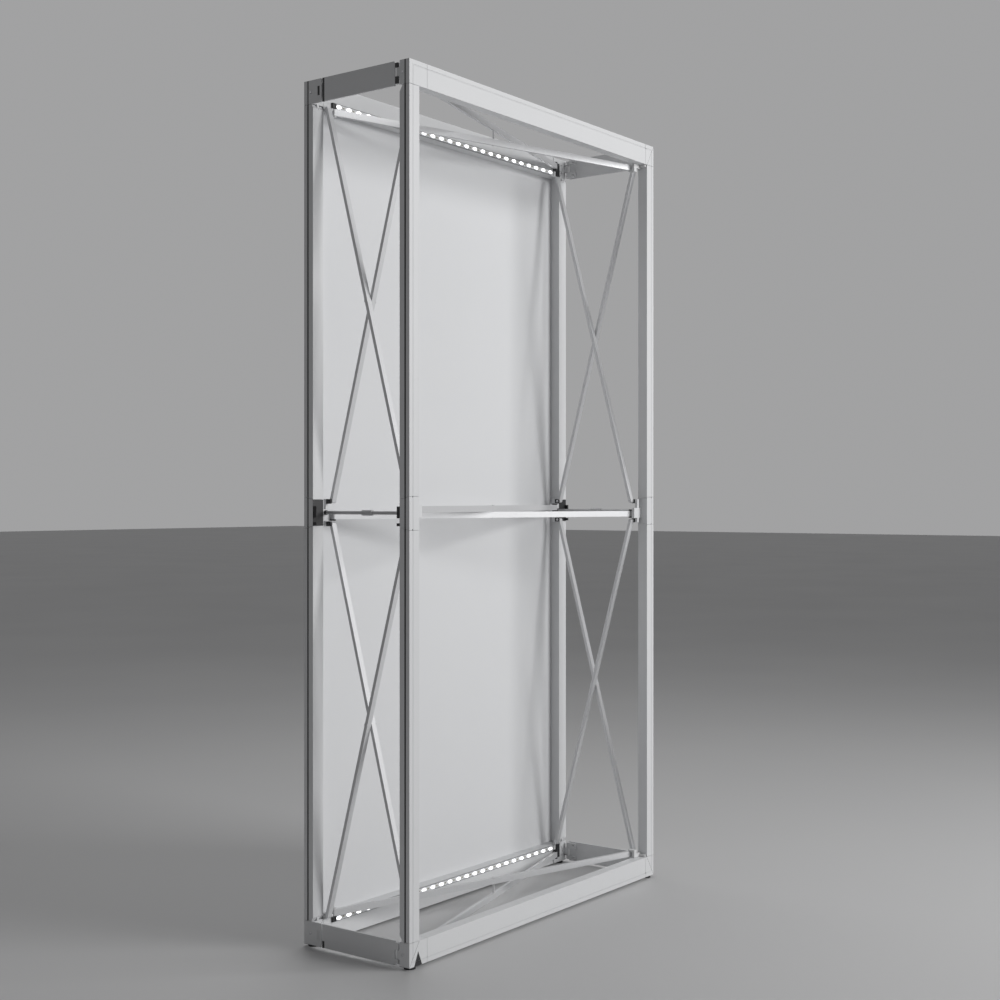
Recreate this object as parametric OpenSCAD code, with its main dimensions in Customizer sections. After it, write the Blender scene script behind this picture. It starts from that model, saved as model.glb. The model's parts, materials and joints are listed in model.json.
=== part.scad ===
// Pop-up display backwall: a folding double-X frame with a rim of fabric profiles,
// two rows of lights on its rear rim and a stretched fabric over its rear face.
// X is the width, -Y the open front, +Y the rear. The origin is bottom centre.

/* [Frame] */
// Width over the rim
frame_w = 1036; // [960:4:1120]
// Depth over the rim, front face to rear face
frame_d = 318; // [306:2:350]
// Height of the whole frame with its feet
frame_h = 2000; // [1960:2:2100]
// Height of the feet
foot_h = 6; // [4:1:10]
// Diameter of the feet
foot_dia = 26; // [18:1:28]

/* [Rim] */
// Width of an upright rim profile
post_w = 34; // [33:0.5:35]
// Depth of every rim profile
rim_d = 28; // [27:0.5:29]
// Height of the top and bottom rim profiles
rail_h = 54; // [53:0.5:56]
// Width of the corner block that carries a rail's hinge
block_w = 61; // [58:0.5:62]
// Half height of the middle block at its inner face
mid_half = 30; // [30:0.5:34]
// Wall of the hollow profiles
wall = 2.4; // [1.8:0.1:3]
// Length of the solid plug in a profile's end
plug = 22; // [20:1:30]
// Gap left at the seams of the rim
seam = 0.8; // [0.6:0.1:1.2]
// Width of the fabric groove
groove_w = 3; // [2:0.25:4]
// Depth of the fabric groove
groove_d = 9; // [6:0.5:11]
// Distance of the fabric groove from the outer edge
groove_at = 10; // [8:0.5:13]
// Rise of a free end across the profile's depth
scarf = 0.25; // [0.22:0.01:0.3]

/* [Folding bars] */
// Thickness of a folding bar in its plane of motion
bar_t = 8; // [7:0.5:9]
// Width of an upright folding bar along its pivots
bar_w = 14; // [12:0.5:14]
// Width of a level folding bar along its pivots
level_w = 15; // [13:0.5:15.5]
// Wall of the folding bars
bar_wall = 1.4; // [1:0.1:1.8]
// Distance of the pivots from the nearest face
pivot_in = 36; // [35:0.5:40]
// Distance of the upright bars' pivots from the rim's ends
pivot_v = 59; // [59:0.5:64]
// Distance of the upright bars' pivots from the frame's middle
mid_pivot = 26; // [24:0.5:30]
// Radius of the pivot pins
pin_r = 2.5; // [2:0.1:2.8]
// Radius of the rim hinge pins
hinge_r = 2; // [1.6:0.1:2]
// Running clearance of a bore around its pin
run_gap = 0.06; // [0.02:0.01:0.1]
// Outward turn of the front uprights' hinges, in degrees
splay = 12; // [11:0.5:15]

/* [Side plates and locks] */
// Thickness of a side plate
plate_t = 4; // [3:0.5:5]
// Gap between a side plate and the tongue it closes against
plate_gap = 3; // [2:0.25:4]
// Radius of a side plate's hinge pin
plate_pin_r = 1.6; // [1.2:0.1:2]
// Diameter of a lock arm
lock_dia = 8; // [6:0.5:9]
// Diameter of a lock's sleeve
sleeve_dia = 13; // [11:0.5:13.5]
// Length of a lock's sleeve
sleeve_l = 30; // [20:1:50]

/* [Lights] */
// Number of lamps in a row
lamp_n = 26; // [20:1:28]
// Distance between neighbouring lamps
lamp_pitch = 34.8; // [30:0.2:35]
// Length of a lamp's lens
lens_l = 15; // [10:0.5:20]
// Height of a lamp's lens
lens_h = 9; // [6:0.5:10]
// Width of the lamp strip
strip_w = 14; // [13:0.5:14.5]
// Thickness of the lamp strip
strip_t = 3; // [2:0.5:5]

/* [Fabric] */
// Thickness of the rear fabric
fabric_t = 1; // [0.5:0.1:2]
// Gap between the fabric and the rim
fabric_gap = 0.3; // [0.2:0.1:0.5]
// Inset of the fabric's edge from the rim's outline
fabric_in = 3; // [1:0.5:8]

/* [Hidden] */
$fn = 32;
eps = 0.01;
half_w = frame_w / 2;
half_d = frame_d / 2;
half_h = (frame_h - foot_h) / 2;
mid_z = foot_h + half_h;

// Planes of the upright bars, counted inwards from the frame's side
outer_at = post_w + 2;
inner_at = outer_at + bar_w + 1;
inner_end = inner_at + bar_w;
// Pivots of the level bars, counted inwards from the frame's side
level_in = inner_end - 3;

// Level and upright bars span the same distance in a square-celled frame, so one fold moves them all
level_span = frame_w - 2 * level_in;
upright_span = half_h - pivot_v - mid_pivot;
reach = frame_d - 2 * pivot_in;

// Distances of the rim hinges from the outer end, the face and the side
hinge_back = rim_d - 4;
post_hinge = rail_h + 6;
rail_hinge = block_w + 8;
lug_w = 6;
lug_r = 3.9;
lug_gap = 0.3;
bevel = 60;
post_pin = 20;
rail_pin = 30;

// Heights of the level bars, from the outer end of the rim and from the middle
high_v = 19;
low_v = rail_h + 2;
mid_gap = 0.5;

strip_v = rail_h - strip_w - 1;
screw_r = 2.4;

// ---- placing ----

// From a corner's own axes (in from the side, in from the face, in from the end) to the frame's
module corner(side, face, end) {
    translate([side * half_w, face * half_d, end > 0 ? frame_h : foot_h])
        mirror([side > 0 ? 1 : 0, 0, 0])
            mirror([0, face > 0 ? 1 : 0, 0])
                mirror([0, 0, end > 0 ? 1 : 0])
                    children();
}

// The same for a middle hub, with heights counted up from the middle
module middle(side, face) {
    translate([side * half_w, face * half_d, mid_z])
        mirror([side > 0 ? 1 : 0, 0, 0])
            mirror([0, face > 0 ? 1 : 0, 0])
                children();
}

// A box from its two opposite corners
module block(from, to) {
    translate(from) cube(to - from);
}

// A round pin or bore along X, Y or Z through a point, from one end to the other
module along_x(at, from, to, r) {
    translate([from, at[0], at[1]]) rotate([0, 90, 0]) cylinder(r = r, h = to - from);
}
module along_y(at, from, to, r) {
    translate([at[0], from, at[1]]) rotate([-90, 0, 0]) cylinder(r = r, h = to - from);
}
module along_z(at, from, to, r) {
    translate([at[0], at[1], from]) cylinder(r = r, h = to - from);
}

// ---- corner hubs ----

// The lug and pin that carry an upright rim profile, turned outwards at the front
module post_lug(turn, grow = 0) {
    translate([post_w / 2, hinge_back, post_hinge]) rotate([0, 0, turn]) {
        along_x([0, 0], -lug_w / 2 - grow, lug_w / 2 + grow, lug_r + grow);
        if (grow == 0) {
            block([-lug_w / 2, -lug_r, rail_h - post_hinge - eps], [lug_w / 2, lug_r, 0]);
            along_x([0, 0], -post_pin / 2, post_pin / 2, hinge_r);
        }
    }
}

// The lug and pin that carry a top or bottom rim profile
module rail_lug() {
    mid_v = rail_h / 2;
    block([block_w - eps, hinge_back - lug_r, mid_v - lug_w / 2], [rail_hinge, hinge_back + lug_r, mid_v + lug_w / 2]);
    along_z([rail_hinge, hinge_back], mid_v - lug_w / 2, mid_v + lug_w / 2, lug_r);
    along_z([rail_hinge, hinge_back], mid_v - rail_pin / 2, mid_v + rail_pin / 2, hinge_r);
}

// A corner block of the rim, with the groove for the fabric; its inner end may slope
module corner_block(width, slope, turn) {
    difference() {
        linear_extrude(rail_h) polygon([[0, 0], [width + slope * rim_d, 0], [width, rim_d], [0, rim_d]]);
        block([groove_at, -eps, groove_at], [groove_at + groove_w, groove_d, rail_h + eps]);
        block([groove_at, -eps, groove_at], [width + rim_d, groove_d, groove_at + groove_w]);
        for (v = [rail_h * 0.3, rail_h * 0.7])
            along_y([post_w * 0.7, v], rim_d - 3, rim_d + eps, screw_r);
    }
    post_lug(turn);
}

// Side plates: the hinge beside their own corner and the tongue of the far one
tongue = 26;
plate_start = 5;
knuckle_r = 3.6;
knuckle_in = knuckle_r + 2.4;
knuckle_at = rim_d + 10;
knuckle_v = 14;
knuckle_h = rail_h - knuckle_v * 2 - 6;

// The corner where a top or bottom profile and a side plate are hinged
module hinge_corner(turn) {
    corner_block(block_w, 0, turn);
    rail_lug();
    block([knuckle_in - knuckle_r, rim_d - eps, knuckle_v], [knuckle_in + knuckle_r, knuckle_at, knuckle_v + knuckle_h]);
    along_z([knuckle_in, knuckle_at], knuckle_v, knuckle_v + knuckle_h, knuckle_r);
    along_z([knuckle_in, knuckle_at], knuckle_v - 7, knuckle_v + knuckle_h + 7, plate_pin_r);
}

// The corner where a top or bottom profile and a side plate end free
module free_corner(turn) {
    corner_block(post_w, scarf, turn);
    difference() {
        block([0, rim_d - eps, 0], [plate_t, rim_d + tongue, rail_h]);
        block([-eps, rim_d + tongue - 12, rail_h * 0.3], [plate_t + eps, rim_d + tongue - 5, rail_h * 0.7]);
    }
}

// ---- brackets ----

fork = 4;
ear = 5.5;

// The bracket at a hinge corner: an inner upright bar and the high level bar
module hinge_bracket() {
    ear_at = inner_at - 0.4 - 6;
    back = pivot_in + ear;
    block([outer_at, rim_d - 8, rail_h], [ear_at + 6, rim_d, pivot_v + ear]);
    block([ear_at, rim_d - eps, rail_h], [ear_at + 6, pivot_in, pivot_v + ear]);
    along_x([pivot_in, pivot_v], ear_at, ear_at + 6, ear - 0.5);
    along_x([pivot_in, pivot_v], ear_at + 1, inner_end - 0.5, pin_r);
    block([outer_at, rim_d, high_v - fork - 0.3], [level_in + 2, rim_d + 3, high_v + level_w + 0.3 + fork]);
    block([outer_at, rim_d, high_v], [inner_at, rim_d + 3, rail_h + 3]);
    for (v = [high_v - fork - 0.3, high_v + level_w + 0.3]) {
        block([level_in - ear, rim_d + 3 - eps, v], [level_in + 3, pivot_in, v + fork]);
        along_z([level_in, pivot_in], v, v + fork, ear - 1);
    }
    along_z([level_in, pivot_in], high_v - fork, high_v + level_w + fork, pin_r);
}

// The bracket at a free corner: an outer upright bar and the low level bar
module free_bracket() {
    ear_at = outer_at + bar_w + 0.4;
    low_end = low_v + level_w + 0.3;
    block([outer_at, 3, rail_h], [outer_at + 4, rim_d / 3, rail_h + seam + eps]);
    block([outer_at, 3, rail_h + seam], [outer_at + 5, rim_d - 1, rail_h + seam + 6]);
    block([outer_at, rim_d - 8, rail_h + seam], [level_in + ear, rim_d - 1, pivot_v + ear]);
    block([level_in - ear - 1, rim_d - 8, rail_h + seam], [level_in + ear, rim_d - 1, low_end + fork]);
    block([ear_at, rim_d - 1 - eps, rail_h + seam], [ear_at + 4, pivot_in, pivot_v + ear]);
    along_x([pivot_in, pivot_v], ear_at, ear_at + 4, ear - 1.2);
    along_x([pivot_in, pivot_v], outer_at + 0.5, ear_at + 3, pin_r);
    block([level_in - ear - 1, rim_d - 1 - eps, low_end], [level_in + ear, pivot_in, low_end + fork]);
    along_z([level_in, pivot_in], low_end, low_end + fork, ear);
    along_z([level_in, pivot_in], low_v + 0.3, low_end + fork, pin_r);
}

// A foot under a bottom corner
module foot() {
    translate([post_w / 2 + 1, rim_d / 2, -foot_h]) {
        cylinder(d = foot_dia, h = 2.5);
        cylinder(d = foot_dia - 6, h = foot_h);
    }
}

// ---- middle hubs ----

// The block between two upright profiles, sloped to meet their cut ends
module mid_block() {
    rise = scarf * rim_d;
    difference() {
        rotate([90, 0, 90]) linear_extrude(post_w)
            polygon([[0, mid_half + rise], [rim_d, mid_half], [rim_d, -mid_half], [0, -mid_half - rise]]);
        block([groove_at, -eps, -mid_half * 2], [groove_at + groove_w, groove_d, mid_half * 2]);
    }
}

// A middle hub; it carries outer or inner upright bars, and the level bar above or below its middle
module mid_hub(outer) {
    ear_w = outer ? 4 : 6;
    ear_at = outer ? outer_at + bar_w + 0.4 : inner_at - 0.4 - ear_w;
    pin_from = outer ? outer_at + 0.5 : ear_at + 1;
    pin_to = outer ? ear_at + 3 : inner_end - 0.5;
    tip = mid_pivot + ear;
    mid_block();
    block([ear_at - 1, rim_d - 8, -tip], [ear_at + ear_w + 1, rim_d - 1, tip]);
    mirror([0, 0, outer ? 0 : 1])
        block([post_w - eps, rim_d - 8, -lock_dia], [level_in + ear, rim_d - 1, mid_gap + level_w + 3.7]);
    for (end = [-1, 1]) {
        block([ear_at, rim_d - 1 - eps, end > 0 ? mid_pivot - ear : -tip], [ear_at + ear_w, pivot_in, end > 0 ? tip : -mid_pivot + ear]);
        along_x([pivot_in, end * mid_pivot], ear_at, ear_at + ear_w, ear);
        along_x([pivot_in, end * mid_pivot], pin_from, pin_to, pin_r);
    }
    mirror([0, 0, outer ? 0 : 1]) {
        for (w = [-fork + mid_gap - 0.3, mid_gap + level_w + 0.3]) {
            thick = w < 0 ? fork : 3.4;
            block([level_in - ear + 1, rim_d - 1 - eps, w], [level_in + ear, pivot_in, w + thick]);
            along_z([level_in, pivot_in], w, w + thick, ear - 1);
        }
        along_z([level_in, pivot_in], -fork + mid_gap, mid_gap + level_w + 3, pin_r);
    }
    lock_boss();
}

lock_at = outer_at + lock_dia / 2 + 2;
lock_start = rim_d - 1;

// The seat of a lock arm on its hub
module lock_boss() {
    along_y([lock_at, 0], lock_start - eps, lock_start + 5, lock_dia / 2 + 1.5);
}

// ---- folding bars ----

// A flat tube with round ends, lying along X, with a bore at each end and one in the middle
module bar(span, width) {
    bar_l = sqrt(span * span + reach * reach);
    difference() {
        union() {
            block([0, -bar_t / 2, 0], [bar_l, bar_t / 2, width]);
            for (x = [0, bar_l]) along_z([x, 0], 0, width, bar_t / 2);
        }
        for (x = [0, bar_l]) along_z([x, 0], -eps, width + eps, pin_r + run_gap);
        for (x = [bar_t * 2, bar_l / 2 + bar_t])
            block([x, -bar_t / 2 + bar_wall, bar_wall], [x + bar_l / 2 - bar_t * 3, bar_t / 2 - bar_wall, width - bar_wall]);
        along_z([bar_l / 2, 0], -eps, width + eps, pin_r + run_gap);
    }
}

// The rivet through a crossing, with a flat head at each end
module rivet(from, to) {
    along_z([0, 0], from, to, pin_r);
    for (z = [from - 1.2, to]) along_z([0, 0], z, z + 1.2, pin_r + 2);
}

// An upright bar in the front's own axes of a side: rises to the rear, or falls
module upright_bar(side, upper, rising, at) {
    low_z = upper ? mid_z + mid_pivot : foot_h + pivot_v;
    y = rising ? -half_d + pivot_in : half_d - pivot_in;
    x = side > 0 ? half_w - at - bar_w : -half_w + at;
    translate([x, y, low_z])
        mirror([0, rising ? 0 : 1, 0])
            rotate([-atan(reach / upright_span), 0, 0])
                rotate([0, -90, 180]) mirror([0, 1, 0]) bar(upright_span, bar_w);
}

// The rivet of an upright crossing
module upright_rivet(side, upper) {
    z = upper ? mid_z + mid_pivot + upright_span / 2 : foot_h + pivot_v + upright_span / 2;
    x = side > 0 ? half_w - inner_end : -half_w + outer_at;
    translate([x, 0, z]) rotate([0, 90, 0]) rivet(0, inner_end - outer_at);
}

// A level bar from the front left to the rear right, or from the rear left to the front right
module level_bar(to_rear, z) {
    y = to_rear ? -half_d + pivot_in : half_d - pivot_in;
    translate([-half_w + level_in, y, z])
        rotate([0, 0, (to_rear ? 1 : -1) * atan(reach / level_span)])
            bar(level_span, level_w);
}

// ---- rim profiles ----

// Section of an upright profile: across the width, and in from the face
module post_section(plugged) {
    difference() {
        square([post_w, rim_d]);
        translate([groove_at, -eps]) square([groove_w, groove_d]);
        translate([groove_at - groove_w / 2, groove_d - groove_w]) square([groove_w * 2, groove_w]);
        translate([-eps, rim_d * 0.36]) square([3, 4]);
        if (!plugged) {
            translate([groove_at + groove_w * 1.5 + wall, wall]) square([post_w - groove_at - groove_w * 1.5 - wall * 2, rim_d - wall * 2]);
            translate([3 + wall, groove_d + wall]) square([groove_at + groove_w * 1.5 - 3 - wall, rim_d - groove_d - wall * 2]);
        }
    }
}

// Section of a top or bottom profile: in from the outer end, and in from the face
module rail_section(plugged) {
    difference() {
        square([rail_h, rim_d]);
        translate([groove_at, -eps]) square([groove_w, groove_d]);
        translate([groove_at - groove_w / 2, groove_d - groove_w]) square([groove_w * 2, groove_w]);
        if (!plugged) {
            translate([groove_at + groove_w * 1.5 + wall, wall])
                square([rail_h - groove_at - groove_w * 1.5 - wall * 2, rim_d - wall * 2]);
            translate([wall, groove_d + wall]) square([groove_at + groove_w * 1.5 - wall, rim_d - groove_d - wall * 2]);
        }
    }
}

// An upright rim profile in its corner's axes, hinged at the corner and cut on a slope at the middle
module post(turn) {
    from = rail_h + seam;
    to = half_h - mid_half - seam;
    difference() {
        union() {
            translate([0, 0, from]) linear_extrude(plug) post_section(true);
            translate([0, 0, from + plug]) linear_extrude(to - from - plug * 2) post_section(false);
            translate([0, 0, to - plug]) linear_extrude(plug) post_section(true);
        }
        // slope of the free end
        translate([-1, rim_d, to]) rotate([atan(scarf), 0, 0])
            translate([0, -rim_d * 2, 0]) cube([post_w + 2, rim_d * 4, plug]);
        // slot for the lug
        translate([post_w / 2, hinge_back, post_hinge]) rotate([0, 0, turn]) {
            block([-lug_w / 2 - lug_gap, -lug_r - lug_gap, -plug], [lug_w / 2 + lug_gap, rim_d, lug_r + lug_gap]);
            along_x([0, 0], -post_pin / 2 - 0.5, post_pin / 2 + 0.5, hinge_r + run_gap);
        }
        // bevel that turns past the corner's end
        translate([post_w / 2, hinge_back, post_hinge]) rotate([0, 0, turn])
            translate([-rail_h, -1, from - post_hinge]) rotate([bevel, 0, 0])
                translate([0, 0, -plug]) cube([rail_h * 2, plug * 2, plug]);
    }
}

// A top or bottom rim profile in its hinge corner's axes
module rail() {
    from = block_w + seam;
    to = frame_w - post_w - seam;
    tip = scarf * rim_d;
    mid_v = rail_h / 2;
    difference() {
        union() {
            translate([from, 0, 0]) rail_solid(plug, true);
            translate([from + plug, 0, 0]) rail_solid(to - from - plug * 2, false);
            translate([to - plug, 0, 0]) rail_solid(plug, true);
        }
        // slope of the free end
        translate([0, 0, -1]) linear_extrude(rail_h + 2)
            polygon([[to - tip, 0], [to, rim_d], [to + tip, rim_d * 2], [to + tip, -rim_d], [to - tip * 2, -rim_d]]);
        // slot for the lug
        block([from - eps, hinge_back - lug_r - lug_gap, mid_v - lug_w / 2 - lug_gap],
            [rail_hinge + lug_r + lug_gap, rim_d + eps, mid_v + lug_w / 2 + lug_gap]);
        along_z([rail_hinge, hinge_back], mid_v - rail_pin / 2 - 0.5, mid_v + rail_pin / 2 + 0.5, hinge_r + run_gap);
        // bevel that turns past the corner
        translate([from, hinge_back - 1, -1]) rotate([0, 0, bevel - 90])
            translate([-plug, 0, 0]) cube([plug, plug * 2, rail_h + 2]);
    }
}

module rail_solid(length, plugged) {
    rotate([0, 90, 0]) mirror([1, 0, 0]) linear_extrude(length) rail_section(plugged);
}

// ---- side plates, locks, lights and fabric ----

// A side plate in the axes of the corner that carries it, with a hinge leaf and a catch
module side_plate() {
    from = rim_d + plate_start;
    to = frame_d - rim_d - tongue - plate_gap;
    low = knuckle_v - lug_gap;
    high = knuckle_v + knuckle_h + lug_gap;
    block([0, knuckle_at + knuckle_r + 1, 0], [plate_t, to, rail_h]);
    difference() {
        union() {
            for (v = [[4, low], [high, rail_h - 4]]) {
                block([0, from, v[0]], [plate_t, knuckle_at + knuckle_r + 1 + eps, v[1]]);
                block([plate_t - eps, knuckle_at, v[0]], [knuckle_in + knuckle_r - 1, knuckle_at + 28, v[1]]);
                along_z([knuckle_in, knuckle_at], v[0], v[1], knuckle_r);
            }
        }
        along_z([knuckle_in, knuckle_at], knuckle_v - 7.5, knuckle_v + knuckle_h + 7.5, plate_pin_r + run_gap);
        along_x([knuckle_at + 20, rail_h - 10], plate_t, knuckle_in + knuckle_r, screw_r);
        along_x([knuckle_at + 20, 9], plate_t, knuckle_in + knuckle_r, screw_r);
    }
    block([plate_t - eps, to - 22, 12], [plate_t + 3, to - 1, rail_h - 12]);
}

// A lock arm in its hub's axes: the front one ends in a sleeve, the rear one in a nose inside it
module lock_arm(sleeve) {
    start = lock_start + 5;
    split = frame_d / 2;
    if (sleeve) {
        along_y([lock_at, 0], start, split - sleeve_l / 2 + 3, lock_dia / 2);
        difference() {
            along_y([lock_at, 0], split - sleeve_l / 2, split + sleeve_l / 2, sleeve_dia / 2);
            along_y([lock_at, 0], split - sleeve_l / 2 + 3 + eps, split + sleeve_l / 2 + eps, lock_dia / 2 + 0.3);
        }
    } else {
        along_y([lock_at, 0], start, split + sleeve_l / 2 - 8, lock_dia / 2);
    }
}

// The strip that carries a row of lamps, in the rear corner's axes
module lamp_strip() {
    length = lamp_pitch * (lamp_n - 1) + lens_l + 2;
    block([(frame_w - length) / 2, rim_d, strip_v], [(frame_w + length) / 2, rim_d + strip_t, strip_v + strip_w]);
}

module lamps() {
    first = (frame_w - lamp_pitch * (lamp_n - 1)) / 2;
    for (i = [0 : lamp_n - 1])
        translate([first + i * lamp_pitch, rim_d + strip_t, strip_v + strip_w / 2])
            rotate([-90, 0, 0]) lens();
}

// A long lens with round ends, stepped to a smaller crown
module lens() {
    for (rim = [[0, 0, 1.6], [1, 1.6, 0.9], [2.2, 2.5, 0.5]])
        translate([0, 0, rim[1]]) linear_extrude(rim[2]) {
            square([lens_l - lens_h, lens_h - rim[0] * 2], center = true);
            for (side = [-1, 1]) translate([side * (lens_l - lens_h) / 2, 0]) circle(d = lens_h - rim[0] * 2);
        }
}

module fabric() {
    translate([-half_w + fabric_in, half_d + fabric_gap, foot_h + fabric_in])
        cube([frame_w - fabric_in * 2, fabric_t, half_h * 2 - fabric_in * 2]);
}

// ---- nodes ----

module hub_fl_top() { color("gainsboro") corner(-1, -1, 1) hinge_corner(splay); }
module hub_fr_top() { color("gainsboro") corner(1, -1, 1) free_corner(splay); }
module hub_rl_top() { color("gainsboro") corner(-1, 1, 1) free_corner(0); }
module hub_rr_top() { color("gainsboro") corner(1, 1, 1) hinge_corner(0); }
module hub_fl_bottom() { color("gainsboro") corner(-1, -1, -1) hinge_corner(splay); }
module hub_fr_bottom() { color("gainsboro") corner(1, -1, -1) free_corner(splay); }
module hub_rl_bottom() { color("gainsboro") corner(-1, 1, -1) free_corner(0); }
module hub_rr_bottom() { color("gainsboro") corner(1, 1, -1) hinge_corner(0); }

module bracket_fl_top() { color("dimgray") corner(-1, -1, 1) hinge_bracket(); }
module bracket_fr_top() { color("dimgray") corner(1, -1, 1) free_bracket(); }
module bracket_rl_top() { color("dimgray") corner(-1, 1, 1) free_bracket(); }
module bracket_rr_top() { color("dimgray") corner(1, 1, 1) hinge_bracket(); }
module bracket_fl_bottom() { color("dimgray") corner(-1, -1, -1) { hinge_bracket(); foot(); } }
module bracket_fr_bottom() { color("dimgray") corner(1, -1, -1) { free_bracket(); foot(); } }
module bracket_rl_bottom() { color("dimgray") corner(-1, 1, -1) { free_bracket(); foot(); } }
module bracket_rr_bottom() { color("dimgray") corner(1, 1, -1) { hinge_bracket(); foot(); } }

module hub_fl_mid() { color("white") middle(-1, -1) mid_hub(true); }
module hub_fr_mid() { color("white") middle(1, -1) mid_hub(false); }
module hub_rl_mid() { color("white") middle(-1, 1) mid_hub(false); }
module hub_rr_mid() { color("white") middle(1, 1) mid_hub(true); }

module bar_left_upper_inner() { color("silver") { upright_bar(-1, true, false, inner_at); upright_rivet(-1, true); } }
module bar_left_upper_outer() { color("silver") upright_bar(-1, true, true, outer_at); }
module bar_left_lower_inner() { color("silver") { upright_bar(-1, false, true, inner_at); upright_rivet(-1, false); } }
module bar_left_lower_outer() { color("silver") upright_bar(-1, false, false, outer_at); }
module bar_right_upper_inner() { color("silver") { upright_bar(1, true, true, inner_at); upright_rivet(1, true); } }
module bar_right_upper_outer() { color("silver") upright_bar(1, true, false, outer_at); }
module bar_right_lower_inner() { color("silver") { upright_bar(1, false, false, inner_at); upright_rivet(1, false); } }
module bar_right_lower_outer() { color("silver") upright_bar(1, false, true, outer_at); }

module bar_top_high() { color("silver") { level_bar(true, frame_h - high_v - level_w); top_rivet(); } }
module bar_top_low() { color("silver") level_bar(false, frame_h - low_v - level_w); }
module bar_bottom_high() { color("silver") level_bar(false, foot_h + low_v); }
module bar_bottom_low() { color("silver") { level_bar(true, foot_h + high_v); bottom_rivet(); } }
module bar_mid_high() { color("silver") { level_bar(true, mid_z + mid_gap); mid_rivet(); } }
module bar_mid_low() { color("silver") level_bar(false, mid_z - mid_gap - level_w); }
module top_rivet() { translate([0, 0, frame_h]) rivet(-low_v - level_w, -high_v); }
module bottom_rivet() { translate([0, 0, foot_h]) rivet(high_v, low_v + level_w); }
module mid_rivet() { translate([0, 0, mid_z]) rivet(-mid_gap - level_w, mid_gap + level_w); }

module post_fl_upper() { color("whitesmoke") corner(-1, -1, 1) post(splay); }
module post_fl_lower() { color("whitesmoke") corner(-1, -1, -1) post(splay); }
module post_fr_upper() { color("whitesmoke") corner(1, -1, 1) post(splay); }
module post_fr_lower() { color("whitesmoke") corner(1, -1, -1) post(splay); }
module post_rl_upper() { color("whitesmoke") corner(-1, 1, 1) post(0); }
module post_rl_lower() { color("whitesmoke") corner(-1, 1, -1) post(0); }
module post_rr_upper() { color("whitesmoke") corner(1, 1, 1) post(0); }
module post_rr_lower() { color("whitesmoke") corner(1, 1, -1) post(0); }

module rail_front_top() { color("whitesmoke") corner(-1, -1, 1) rail(); }
module rail_rear_top() { color("whitesmoke") corner(1, 1, 1) rail(); }
module rail_front_bottom() { color("whitesmoke") corner(-1, -1, -1) rail(); }
module rail_rear_bottom() { color("whitesmoke") corner(1, 1, -1) rail(); }

module plate_left_top() { color("lightgray") corner(-1, -1, 1) side_plate(); }
module plate_left_bottom() { color("lightgray") corner(-1, -1, -1) side_plate(); }
module plate_right_top() { color("lightgray") corner(1, 1, 1) side_plate(); }
module plate_right_bottom() { color("lightgray") corner(1, 1, -1) side_plate(); }

module lock_left_front() { color("slategray") middle(-1, -1) lock_arm(true); }
module lock_left_rear() { color("slategray") middle(-1, 1) lock_arm(false); }
module lock_right_front() { color("slategray") middle(1, -1) lock_arm(true); }
module lock_right_rear() { color("slategray") middle(1, 1) lock_arm(false); }

module strip_top() { color("darkgray") corner(1, 1, 1) lamp_strip(); }
module strip_bottom() { color("darkgray") corner(1, 1, -1) lamp_strip(); }
module lamps_top() { color("white") corner(1, 1, 1) lamps(); }
module lamps_bottom() { color("white") corner(1, 1, -1) lamps(); }
module rear_fabric() { color("white") fabric(); }

hub_fl_top();
hub_fr_top();
hub_rl_top();
hub_rr_top();
hub_fl_bottom();
hub_fr_bottom();
hub_rl_bottom();
hub_rr_bottom();
bracket_fl_top();
bracket_fr_top();
bracket_rl_top();
bracket_rr_top();
bracket_fl_bottom();
bracket_fr_bottom();
bracket_rl_bottom();
bracket_rr_bottom();
hub_fl_mid();
hub_fr_mid();
hub_rl_mid();
hub_rr_mid();
bar_left_upper_inner();
bar_left_upper_outer();
bar_left_lower_inner();
bar_left_lower_outer();
bar_right_upper_inner();
bar_right_upper_outer();
bar_right_lower_inner();
bar_right_lower_outer();
bar_top_high();
bar_top_low();
bar_bottom_high();
bar_bottom_low();
bar_mid_high();
bar_mid_low();
post_fl_upper();
post_fl_lower();
post_fr_upper();
post_fr_lower();
post_rl_upper();
post_rl_lower();
post_rr_upper();
post_rr_lower();
rail_front_top();
rail_rear_top();
rail_front_bottom();
rail_rear_bottom();
plate_left_top();
plate_left_bottom();
plate_right_top();
plate_right_bottom();
lock_left_front();
lock_left_rear();
lock_right_front();
lock_right_rear();
strip_top();
strip_bottom();
lamps_top();
lamps_bottom();
rear_fabric();
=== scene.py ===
"""Dresses the folding display backwall: its finishes, fabric, small fittings, stage and camera."""

from __future__ import annotations

import json
import logging
import math
from dataclasses import dataclass
from enum import Enum
from typing import Any, Iterable, Sequence

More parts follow.
